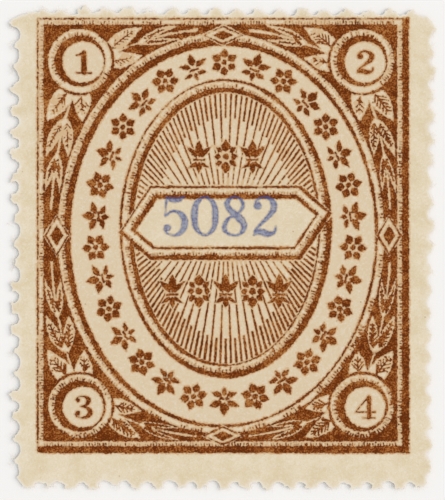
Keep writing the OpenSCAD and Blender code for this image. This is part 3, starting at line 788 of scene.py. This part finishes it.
def print_patch(patch, name, wander=1.2, pits=3.2, strays=2.5, gain=0.0, fine=False):
    """Wears a patch and prints it over the CAD node that stands for it.

    wander multiplies the stamp's own size. pits and strays are as for Patch.wear. gain is how far the ink
    spreads past its outline. A fine film has the rims of the finest lines. Each film is a hair lower than
    the last, so that no two tops lie in one plane where their edges stray over each other.
    """
    sizes = bpy.context.scene.stamp_sizes
    patch.depth += gain + HEAVIER[0] * patch.x[None, :] + HEAVIER[1] * patch.y[:, None]
    patch.wear(wander * sizes.wander / MM, sizes.blotch / MM, pits, strays)
    films = sum(piece.name.endswith("_print") for piece in bpy.data.objects)
    levels, bare = (FINE_LEVELS, FINE_BARE) if fine else (RIM_LEVELS, RIM_BARE)
    piece = inked(name + "_print", patch, INK_TOP - films * FILM_STEP, levels, bare=bare)
    return seat(piece, finish("stone_ink", stone_ink), "ink", name)


def print_film(name, fringe=0.0, **wear):
    """Prints a CAD film of ink. fringe multiplies the length of the ticks along its heavy edges."""
    sizes = bpy.context.scene.stamp_sizes
    patch, outline = film_patch(name)
    if fringe:
        patch.fringe(name, outline, fringe * sizes.tick / MM, sizes.tick_gap / MM)
    return print_patch(patch, name, **wear)


# Figures in a modern face, one em high, on a baseline at 0. Each stroke is a list of knots: x, y and width.
# A stroke whose first knot comes again at its end is closed. A stroke of one knot is a ball.
FIGURES = {
    "0": [[(.31, .98, .04), (.13, .81, .11), (.085, .5, .155), (.13, .19, .11), (.31, .02, .04),
           (.49, .19, .11), (.535, .5, .155), (.49, .81, .11), (.31, .98, .04)]],
    "1": [[(.33, .9, .15), (.33, .05, .15)], [(.34, .97, .05), (.25, .86, .06), (.12, .8, .035)],
          [(.12, .02, .045), (.54, .02, .045)]],
    "2": [[(.16, .75, .17)],
          [(.09, .75, .04), (.14, .9, .05), (.3, .975, .045), (.45, .89, .11), (.5, .73, .155),
           (.43, .55, .12), (.25, .34, .06), (.11, .16, .045), (.08, .04, .045)],
          [(.09, .06, .05), (.2, .11, .14), (.37, .06, .14), (.51, .1, .06), (.54, .24, .035)]],
    "3": [[(.16, .8, .15)],
          [(.1, .81, .05), (.18, .94, .05), (.31, .975, .045), (.44, .88, .12), (.46, .74, .145),
           (.39, .59, .08), (.24, .535, .035), (.42, .48, .09), (.52, .28, .155), (.44, .1, .11),
           (.28, .02, .04), (.13, .09, .05), (.09, .2, .05)], [(.15, .22, .16)]],
    "4": [[(.41, .95, .06), (.2, .6, .045), (.04, .29, .04)], [(.04, .28, .05), (.6, .28, .05)],
          [(.42, .93, .13), (.42, .04, .14)], [(.25, .02, .045), (.58, .02, .045)]],
    "5": [[(.13, .96, .035), (.25, .91, .11), (.39, .91, .12), (.51, .98, .035)],
          [(.13, .95, .035), (.11, .5, .035)],
          [(.11, .5, .035), (.2, .59, .05), (.33, .62, .06), (.47, .52, .13), (.525, .33, .16),
           (.46, .12, .12), (.3, .02, .045), (.14, .08, .05), (.09, .18, .05)], [(.15, .21, .17)]],
    "8": [[(.31, .98, .04), (.18, .9, .09), (.145, .76, .13), (.25, .6, .15), (.4, .46, .165),
           (.51, .27, .13), (.45, .09, .07), (.3, .02, .04), (.13, .09, .08), (.08, .24, .1),
           (.16, .42, .06), (.32, .54, .04), (.44, .65, .06), (.48, .79, .08), (.43, .91, .06),
           (.31, .98, .04)]],
}
# Middle of a figure, in ems from its left side
FIGURE_MIDDLE = 0.31
# Points that a stroke's curve has from one knot to the next
KNOT_STEPS = 7


def smooth(knots):
    """A smooth curve through knots, closed if the last is the first."""
    knots = np.array(knots)
    if len(knots) < 3:
        return knots
    closed = np.allclose(knots[0], knots[-1])
    before = knots[-2] if closed else 2 * knots[0] - knots[1]
    after = knots[1] if closed else 2 * knots[-1] - knots[-2]
    ends = np.vstack([before, knots, after])
    curve = []
    for a, b, c, d in zip(ends, ends[1:], ends[2:], ends[3:]):
        for t in np.arange(KNOT_STEPS) / KNOT_STEPS:
            curve.append(((2 * b) + (c - a) * t + (2 * a - 5 * b + 4 * c - d) * t ** 2
                          + (3 * b - a - 3 * c + d) * t ** 3) / 2)
    return np.array(curve + [knots[-1]])


def write_figure(patch, figure, middle, tall, weight, wide):
    """Covers one figure's strokes. middle is its middle, and weight multiplies the width of its strokes.

    wide stretches the figure sideways.
    """
    for knots in FIGURES[figure]:
        curve = smooth(knots)
        places = (curve[:, :2] - (FIGURE_MIDDLE, 0.5)) * (wide * tall, tall) + middle
        halves = curve[:, 2] * tall * weight / 2
        if len(curve) == 1:
            patch.stroke(places[0], places[0], halves[0], halves[0])
        for i in range(len(curve) - 1):
            patch.stroke(places[i], places[i + 1], halves[i], halves[i + 1])


# Size of the stretches over which teeth tear short, in millimetres
TOOTH_GRAIN = 1.3
# The most that a tip loses on the left half of the sheet, and on the right half
SHORTEST = (0.36, 0.2)
# Distance from the sheet's side at which the tear runs out, and the share of it that stays from there on
TEAR_DEEP = 1.1
TEAR_LEFT = 0.12


def torn_sheet():
    """The patch that the paper covers. Tips tear in full, and next to nothing tears between the teeth."""
    sizes = bpy.context.scene.stamp_sizes
    patch, _ = film_patch("paper_sheet")
    low, high = (np.array(corner[:2]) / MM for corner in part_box("paper_sheet"))
    across = np.minimum(patch.x - low[0], high[0] - patch.x)[None, :]
    along = np.minimum(patch.y - low[1], high[1] - patch.y)[:, None]
    tip = np.clip(TEAR_DEEP - np.minimum(across, along), TEAR_LEFT, 1)
    short = np.clip(patch.grain(TOOTH_GRAIN), 0, 1) * np.where(patch.x < 0, *SHORTEST)[None, :]
    patch.depth += tip * (sizes.tear / MM * patch.grain(sizes.tear_grain / MM) - short)
    return patch


class StampOperator:
    """What every operator of the stamp shares."""

    bl_options = {"REGISTER", "UNDO"}


class STAMP_OT_paper(StampOperator, bpy.types.Operator):
    """Builds the paper, with thin torn tips on its teeth."""

    bl_idname = "stamp.paper"
    bl_label = "Paper"

    # Depths at which the sheet has a ring of points, and how far the face is lowered there
    levels = (0.0, 0.06, 0.16, 0.28)
    lowered = (0.005, 0.001, 0.0, 0.0)
    # How strongly the torn fibres show at those depths
    torn = (0.75, 0.55, 0.22, 0.0)

    def execute(self, context):
        patch = torn_sheet()
        corners, triangles = cut_out(patch, self.levels)
        depth = patch.depth_at(corners)
        top = PAPER_TOP - np.interp(depth, self.levels, self.lowered)
        piece = plate("wove_sheet", corners, triangles, top, PAPER_LOW)
        add_mark(piece, "torn", np.interp(depth, self.levels, self.torn))
        seat(piece, finish("wove_paper", wove_paper), "paper", "paper_sheet")
        return {"FINISHED"}


class STAMP_OT_gum(StampOperator, bpy.types.Operator):
    """Builds the dried gum on the back."""

    bl_idname = "stamp.gum"
    bl_label = "Gum"

    # The gum ends this far inside the paper's edge, and strays by this much in blotches of this size
    inset = 0.04
    stray = 0.02
    blotch = 0.4

    def execute(self, context):
        patch = torn_sheet()
        patch.depth += self.stray * patch.grain(self.blotch) - self.inset
        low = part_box("gum_layer")[0].z / MM
        piece = plate("dried_gum", *cut_out(patch), PAPER_LOW, low)
        seat(piece, finish("gum_arabic", gum_arabic), "gum", "gum_layer")
        return {"FINISHED"}


class STAMP_OT_fibres(StampOperator, bpy.types.Operator):
    """Builds the loose fibres that stick out of the torn tips."""

    bl_idname = "stamp.fibres"
    bl_label = "Torn fibres"

    seed = 7
    many = 420
    # Thickness of a fibre, and the share of it that is left at the far end
    thickness = 0.022
    taper = 0.45
    # Fibres come from the tips, which are this near to the sheet's side
    tip_deep = 0.3
    # How far inside the sheet's edge a fibre starts, and the most that it sticks out
    root = 0.4
    longest = 0.3
    # How even their lengths are, the spread of their lean, and that of their curl as a share of the length
    evenness = 4
    lean = 0.7
    curl = 0.35
    # The least distance of a fibre from the paper's back and from its face
    above = 0.015
    below = 0.05
    # Points along a fibre
    points = 8

    def execute(self, context):
        random = np.random.default_rng(self.seed)
        low, high = (np.array(corner[:2]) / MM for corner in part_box("paper_sheet"))
        outline = top_outline("paper_sheet")
        middles = outline.mean(axis=1)
        to_side = np.minimum(middles - low, high - middles).min(axis=1)
        tips = np.flatnonzero(to_side < self.tip_deep)
        paths = []
        for edge in random.choice(tips, self.many):
            way = outline[edge, 1] - outline[edge, 0]
            out = np.array([way[1], -way[0]]) / math.hypot(*way)
            out = out + random.normal(0, self.lean) * way / math.hypot(*way)
            out /= math.hypot(*out)
            reach = context.scene.stamp_sizes.fibre / MM * random.gamma(self.evenness, 1 / self.evenness)
            reach = min(reach, self.longest)
            curl = random.normal(0, self.curl) * reach
            height = random.uniform(PAPER_LOW + self.above, PAPER_TOP - self.below)
            along = np.linspace(-self.root, reach, self.points)[:, None]
            aside = np.clip(along / reach, 0, 1) ** 2 * curl
            flat = middles[edge] + out * along + np.array([-out[1], out[0]]) * aside
            paths.append(np.column_stack([flat, np.full(len(flat), height)]))
        piece = strands("torn_fibres", paths, self.thickness, self.taper)
        seat(piece, finish("torn_fibre", torn_fibre), "paper")
        return {"FINISHED"}


class STAMP_OT_border(StampOperator, bpy.types.Operator):
    """Prints the outer rule of the border and the bosses at the middle of its sides."""

    bl_idname = "stamp.border"
    bl_label = "Border"

    def execute(self, context):
        print_film("border_rule", fringe=0.8, gain=-0.01)
        print_film("border_bosses", fringe=0.5)
        return {"FINISHED"}


class STAMP_OT_grounds(StampOperator, bpy.types.Operator):
    """Prints the dark ground of each corner, and the midribs and shading of the leaves left bare in it."""

    bl_idname = "stamp.grounds"
    bl_label = "Corner grounds"

    # A shading stroke's angle to its midrib, and how far it ends from the leaf's edge, in millimetres
    slant = math.radians(42)
    margin = 0.09
    # Distances from the midrib at which the leaf's edge is looked for
    steps = np.arange(0.04, 1.6, 0.04)
    # How far ahead of a stroke's root the midrib's heading is taken
    look_ahead = 0.1
    # The power that crowds strokes at a leaf's root, the fewest on a leaf, the range of their length as a
    # share of the room, and half their width at the midrib and at the end
    crowding = 1.25
    fewest = 2
    run_range = (0.6, 1.0)
    stroke_half = (0.04, 0.018)
    # Dots beside a stroke: how many, their range along it, how far they stray, half their width, and how
    # far they stay from the leaf's edge
    dots = 3
    dot_range = (0.3, 1.0)
    dot_stray = 0.05
    dot_half = 0.034
    dot_margin = 0.07

    def execute(self, context):
        sizes = context.scene.stamp_sizes
        veins, outline = film_patch("leaf_veins")
        ribs = loops_of(outline)
        for corner in CORNERS:
            ground, edge = film_patch("ground_" + corner)
            middle = middle_of("roundel_" + corner)
            low, high = edge.min((0, 1)), edge.max((0, 1))
            for rib in ribs:
                if (rib > low).all() and (rib < high).all():
                    self.shade(veins, ground, rib, middle, sizes.hatch_gap / MM)
            ground.fringe("ground_" + corner, edge, sizes.tick / MM, sizes.tick_gap / MM)
            print_patch(ground, "ground_" + corner)
        print_patch(veins, "leaf_veins", wander=0.5, pits=3.8, gain=0.005, fine=True)
        return {"FINISHED"}

    def shade(self, veins, ground, rib, roundel, gap):
        """Adds strokes that leave a leaf's midrib on both sides, closest together at its root."""
        ends = np.hypot(*(rib - roundel).T)
        root, tip = ends.argmin(), ends.argmax()
        line = np.roll(rib, -root, axis=0)[:(tip - root) % len(rib) + 1]
        past = np.concatenate([[0], np.cumsum(np.hypot(*np.diff(line, axis=0).T))])
        count = max(int(past[-1] / gap), self.fewest)
        for share in (np.arange(count) / count) ** self.crowding:
            start, ahead = [
                np.array([np.interp(share * past[-1] + more, past, line[:, axis]) for axis in (0, 1)])
                for more in (0, self.look_ahead)]
            heading = math.atan2(*(ahead - start)[::-1])
            for turn in (-self.slant, self.slant):
                way = np.array([math.cos(heading + turn), math.sin(heading + turn)])
                clear = ground.depth_at(start + self.steps[:, None] * way) < -self.margin
                if clear[0]:
                    room = self.steps[clear.argmin() - 1]
                    run = room * veins.random.uniform(*self.run_range)
                    veins.stroke(start, start + run * way, *self.stroke_half)
                    for _ in range(self.dots):
                        dot = start + room * way * veins.random.uniform(*self.dot_range)
                        dot = dot + veins.random.normal(0, self.dot_stray, 2)
                        if ground.depth_at(dot[None])[0] < -self.dot_margin:
                            veins.stroke(dot, dot, self.dot_half, self.dot_half)


class STAMP_OT_roundels(StampOperator, bpy.types.Operator):
    """Prints the inner ring of each corner roundel."""

    bl_idname = "stamp.roundels"
    bl_label = "Roundels"

    def execute(self, context):
        for corner in CORNERS:
            print_film("roundel_" + corner, fringe=1.0)
        return {"FINISHED"}


class STAMP_OT_oval_band(StampOperator, bpy.types.Operator):
    """Prints the rule round the oval band and the flowers and sprigs in it."""

    bl_idname = "stamp.oval_band"
    bl_label = "Oval band"

    def execute(self, context):
        print_film("oval_rule", fringe=1.0)
        print_film("band_flowers")
        print_film("band_sprigs")
        return {"FINISHED"}


class STAMP_OT_arch(StampOperator, bpy.types.Operator):
    """Prints the two rules of the inner oval, above and below the tablet."""

    bl_idname = "stamp.arch"
    bl_label = "Inner oval"

    def execute(self, context):
        for half in HALVES:
            print_film("arch_outer_rule_" + half, fringe=0.8)
            print_film("arch_inner_rule_" + half, fringe=0.8)
        return {"FINISHED"}


class STAMP_OT_sunburst(StampOperator, bpy.types.Operator):
    """Prints the sunburst, with a hair-fine wobble along each ray."""

    bl_idname = "stamp.sunburst"
    bl_label = "Sunburst"

    def execute(self, context):
        for half in HALVES:
            print_film("rays_" + half, wander=0.6, pits=3.8, gain=-0.012, fine=True)
        return {"FINISHED"}


class STAMP_OT_tablet(StampOperator, bpy.types.Operator):
    """Prints the two rules of the tablet."""

    bl_idname = "stamp.tablet"
    bl_label = "Tablet"

    def execute(self, context):
        print_film("tablet_outer_rule", fringe=0.6)
        print_film("tablet_inner_rule", fringe=0.6)
        return {"FINISHED"}


class STAMP_OT_ornaments(StampOperator, bpy.types.Operator):
    """Prints the ornaments above and below the tablet."""

    bl_idname = "stamp.ornaments"
    bl_label = "Ornaments"

    def execute(self, context):
        print_film("ornaments_upper")
        print_film("ornaments_lower")
        return {"FINISHED"}


class STAMP_OT_numerals(StampOperator, bpy.types.Operator):
    """Prints a plain numeral in the disc of each corner roundel."""

    bl_idname = "stamp.numerals"
    bl_label = "Corner numerals"

    # A disc's middle, from the middle of its ring, which is heavier on its shaded side
    from_ring = (0.228, -0.074)
    # How heavy its strokes are and how wide it is, beside the plain figure
    weight = 1.38
    wide = 1.52
    # How much of the stamp's own wander it has, and how rare its pits and stray specks are
    wander = 0.7
    pits = 3.6
    strays = 3.0

    def execute(self, context):
        sizes, marks = context.scene.stamp_sizes, context.scene.stamp_marks
        for corner, figure in zip(CORNERS, marks.corners):
            middle = middle_of("roundel_" + corner) + self.from_ring
            tall = sizes.numeral_tall / MM
            patch = Patch("numeral_" + corner, middle + np.array([[-tall, -tall], [tall, tall]]) / 2,
                          sizes.fine_grid / MM)
            write_figure(patch, figure, middle, tall, self.weight, self.wide)
            patch.wear(self.wander * sizes.wander / MM, sizes.blotch / MM, self.pits, self.strays)
            piece = inked("numeral_" + corner, patch, INK_TOP, RIM_LEVELS, bare=RIM_BARE)
            seat(piece, finish("stone_ink", stone_ink), "ink")
        return {"FINISHED"}


class STAMP_OT_control_number(StampOperator, bpy.types.Operator):
    """Stamps the blue control number in the tablet."""

    bl_idname = "stamp.control_number"
    bl_label = "Control number"

    # The number's middle, from the middle of the tablet
    off = (-0.42, 0.5)
    # How heavy its strokes are and how wide its figures are, beside the plain ones
    weight = 0.98
    wide = 1.16
    # How much of the stamp's own wander it has, and how rare its pits and stray specks are
    wander = 0.8
    pits = 3.2
    strays = 3.4
    # Depths at which the ink has a ring of points, how dark its rim is there, and how much paper shows
    levels = (-0.09, -0.02, 0.04, 0.1)
    rim = (1.0, 1.0, 0.9, 0.0)
    bare = (1.0, 0.6, 0.1, 0.2)
    # Width of the change from blue on paper to blue over the tablet's rule
    soak = 0.05

    def execute(self, context):
        sizes, figures = context.scene.stamp_sizes, context.scene.stamp_marks.control
        tall, gap = sizes.figure_tall / MM, sizes.figure_gap / MM
        middle = middle_of("tablet_outer_rule") + self.off
        reach = np.array([gap * len(figures), tall]) / 2
        patch = Patch("control_number", np.array([middle - reach, middle + reach]), sizes.fine_grid / MM)
        for i, figure in enumerate(figures):
            place = middle + ((i - (len(figures) - 1) / 2) * gap, 0)
            write_figure(patch, figure, place, tall, self.weight, self.wide)
        patch.wear(self.wander * sizes.wander / MM, sizes.blotch / MM, self.pits, self.strays)
        piece = inked("control_number", patch, INK_TOP, self.levels, bare=self.bare, rim=self.rim)
        rule, _ = film_patch("tablet_inner_rule")
        points = np.array([point.co[:2] for point in piece.data.vertices])
        upper = points[:len(points) // 2] / MM
        add_mark(piece, "over", rule.depth_at(upper) / self.soak + 0.5)
        seat(piece, finish("number_ink", number_ink), "ink")
        return {"FINISHED"}


class STAMP_OT_stage(StampOperator, bpy.types.Operator):
    """Sets up the floor, the light and the camera."""

    bl_idname = "stamp.stage"
    bl_label = "Stage"

    # A low, soft key light from the right, and the share of the light that comes from the sky
    key_elevation = math.radians(42)
    key_azimuth = math.radians(4)
    key_softness = math.radians(48)
    sky_share = (0.7, 0.725, 0.75)
    # A stamp never lies dead flat, so the floor is this far below it
    lift = 0.12 * MM
    # Half the width of the floor, in millimetres
    floor_half = 600
    # The camera's lens, the height of its sensor, and the nearest that it sees, in metres
    lens = 85
    sensor = 36
    nearest = 0.005

    def execute(self, context):
        scene = context.scene
        scene.view_settings.view_transform = "Standard"
        self.floor()
        self.light(scene)
        self.camera(scene)
        return {"FINISHED"}

    def floor(self):
        """A plain pale floor."""
        signs = np.array([(-1, -1, 0), (1, -1, 0), (1, 1, 0), (-1, 1, 0)])
        floor = solid("floor", self.floor_half * signs, [(0, 1, 2, 3)])
        floor.location.z = -self.lift
        floor.data.materials.append(finish("pale_card", pale_card))

    def light(self, scene):
        """A key light and a sky that together light a level face at a strength of 1."""
        key = bpy.data.lights.new("key", "SUN")
        share = [1 - s for s in self.sky_share]
        key.color = [s / max(share) for s in share]
        key.energy = max(share) * math.pi / math.sin(self.key_elevation)
        key.angle = self.key_softness
        lamp = bpy.data.objects.new("key", key)
        lamp.rotation_euler = (0, math.pi / 2 - self.key_elevation, self.key_azimuth)
        scene.collection.objects.link(lamp)
        world = bpy.data.worlds.new("studio")
        world.use_nodes = True
        scene.world = world
        tree = world.node_tree
        tree.nodes.clear()
        path = node(tree, "ShaderNodeLightPath")
        seen = sums(tree, "MAXIMUM", path.outputs["Is Camera Ray"], path.outputs["Is Glossy Ray"])
        seen = sums(tree, "MAXIMUM", seen, path.outputs["Is Transmission Ray"])
        sky = node(tree, "ShaderNodeBackground", {"Color": (*self.sky_share, 1)})
        backdrop = node(tree, "ShaderNodeBackground", {"Color": (*scene.stamp_colours.backdrop, 1)})
        both = node(tree, "ShaderNodeMixShader", {0: seen, 1: sky.outputs[0], 2: backdrop.outputs[0]})
        node(tree, "ShaderNodeOutputWorld", {"Surface": both.outputs[0]})

    def camera(self, scene):
        """The photograph's camera, straight above the sheet."""
        camera = bpy.data.cameras.new("camera")
        camera.sensor_fit = "VERTICAL"
        camera.sensor_height = self.sensor
        camera.sensor_width = self.sensor * FRAME_W / FRAME_H
        camera.lens = self.lens
        camera.clip_start = self.nearest
        lens = bpy.data.objects.new("camera", camera)
        x, y = middle_of("border_rule") + FRAME_OFF
        lens.location = (x * MM, y * MM, (INK_TOP + FRAME_TALL * self.lens / self.sensor) * MM)
        scene.collection.objects.link(lens)
        scene.camera = lens


PIECES = (
    STAMP_OT_paper, STAMP_OT_gum, STAMP_OT_fibres, STAMP_OT_border, STAMP_OT_grounds, STAMP_OT_roundels,
    STAMP_OT_oval_band, STAMP_OT_arch, STAMP_OT_sunburst, STAMP_OT_tablet, STAMP_OT_ornaments,
    STAMP_OT_numerals, STAMP_OT_control_number, STAMP_OT_stage,
)


class STAMP_PT_parts(bpy.types.Panel):
    """Lists the stamp's pieces, sizes and colours in the sidebar."""

    bl_idname = "STAMP_PT_parts"
    bl_label = "Stamp"
    bl_space_type = "VIEW_3D"
    bl_region_type = "UI"
    bl_category = "Stamp"

    def draw(self, context):
        scene = context.scene
        for piece in PIECES:
            self.layout.operator(piece.bl_idname)
        for group in (scene.stamp_sizes, scene.stamp_colours, scene.stamp_marks):
            for name in group.bl_rna.properties.keys():
                if name not in ("rna_type", "name"):
                    self.layout.prop(group, name)


CLASSES = (StampSizes, StampColours, StampMarks, *PIECES, STAMP_PT_parts)


def register():
    """Adds the stamp's classes and its properties to Blender."""
    for kind in CLASSES:
        bpy.utils.register_class(kind)
    bpy.types.Scene.stamp_sizes = PointerProperty(type=StampSizes)
    bpy.types.Scene.stamp_colours = PointerProperty(type=StampColours)
    bpy.types.Scene.stamp_marks = PointerProperty(type=StampMarks)


def unregister():
    """Takes them out again."""
    del bpy.types.Scene.stamp_marks
    del bpy.types.Scene.stamp_colours
    del bpy.types.Scene.stamp_sizes
    for kind in reversed(CLASSES):
        bpy.utils.unregister_class(kind)


def main():
    """Builds every piece and the stage."""
    register()
    for piece in PIECES:
        group, name = piece.bl_idname.split(".")
        getattr(getattr(bpy.ops, group), name)()


if __name__ == "__main__":
    main()
